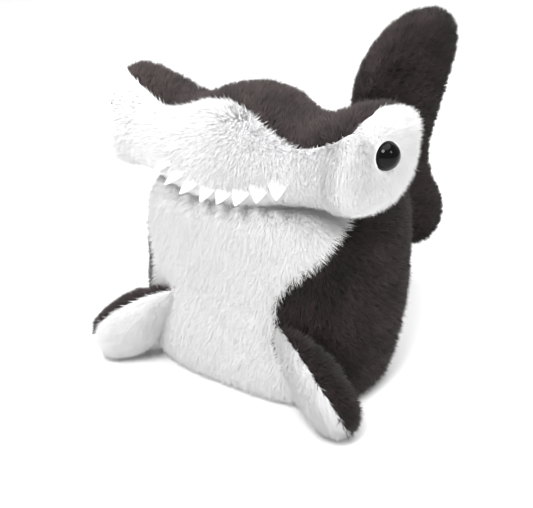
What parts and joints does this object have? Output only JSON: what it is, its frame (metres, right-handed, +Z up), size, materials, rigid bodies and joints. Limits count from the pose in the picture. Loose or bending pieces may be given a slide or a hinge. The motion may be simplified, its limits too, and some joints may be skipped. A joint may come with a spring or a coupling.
{
  "type": "plush shark",
  "caption": "Plush hammerhead shark sitting upright: stuffed head, body, fins and tail of long-pile cloth, with felt teeth, round safety eyes and a flat weighted base.",
  "frame": {"origin": "on the flat base, below the middle of the hammer", "axes": "+Z up, -Y the way the shark faces, +X towards the shark's left"},
  "size_m": [0.1476, 0.1874, 0.149],
  "materials": {
    "white_plush": "long soft white pile",
    "dark_plush": "short dense dark grey-brown pile",
    "felt": "white wool felt",
    "eye_plastic": "polished black",
    "washer_plastic": "natural moulded",
    "fibre": "loose polyester fibre",
    "calico": "plain weave",
    "pellets": "loose pellets"
  },
  "bodies": {
    "torso": {"base_panel": "white_plush", "belly_panel": "white_plush", "left_back_panel": "dark_plush", "right_back_panel": "dark_plush", "face_panel": "white_plush", "crown_panel": "dark_plush", "left_eye_panel": "white_plush", "right_eye_panel": "white_plush", "left_eye": "eye_plastic", "right_eye": "eye_plastic", "left_eye_washer": "washer_plastic", "right_eye_washer": "washer_plastic", "tooth_1": "felt", "tooth_2": "felt", "tooth_3": "felt", "tooth_4": "felt", "tooth_5": "felt", "tooth_6": "felt", "tooth_7": "felt", "tooth_8": "felt", "left_dorsal_panel": "dark_plush", "right_dorsal_panel": "dark_plush", "dorsal_stuffing": "fibre", "body_stuffing": "fibre", "head_stuffing": "fibre", "pellet_bag": "calico", "pellet_fill": "pellets"},
    "left_fin": {"left_fin_top": "dark_plush", "left_fin_underside": "white_plush", "left_fin_stuffing": "fibre"},
    "right_fin": {"right_fin_top": "dark_plush", "right_fin_underside": "white_plush", "right_fin_stuffing": "fibre"},
    "tail": {"left_tail_panel": "dark_plush", "right_tail_panel": "dark_plush", "tail_stuffing": "fibre"}
  },
  "joints": [
    {"name": "left_fin_flop", "type": "hinge", "parent": "torso", "child": "left_fin", "pos_m": [0.0426, -0.0579, 0.024], "axis": [0.4584, 0.2265, -0.8594], "range_deg": [-20, 15], "stiffness_Nm_per_rad": 0.05},
    {"name": "right_fin_flop", "type": "hinge", "parent": "torso", "child": "right_fin", "pos_m": [-0.0426, -0.0579, 0.024], "axis": [0.4584, -0.2265, 0.8594], "range_deg": [-30, 3], "stiffness_Nm_per_rad": 0.05},
    {"name": "tail_sway", "type": "hinge", "parent": "torso", "child": "tail", "pos_m": [0, 0.059, 0.065], "axis": [0, 0, 1], "range_deg": [-18, 52], "stiffness_Nm_per_rad": 0.12}
  ]
}
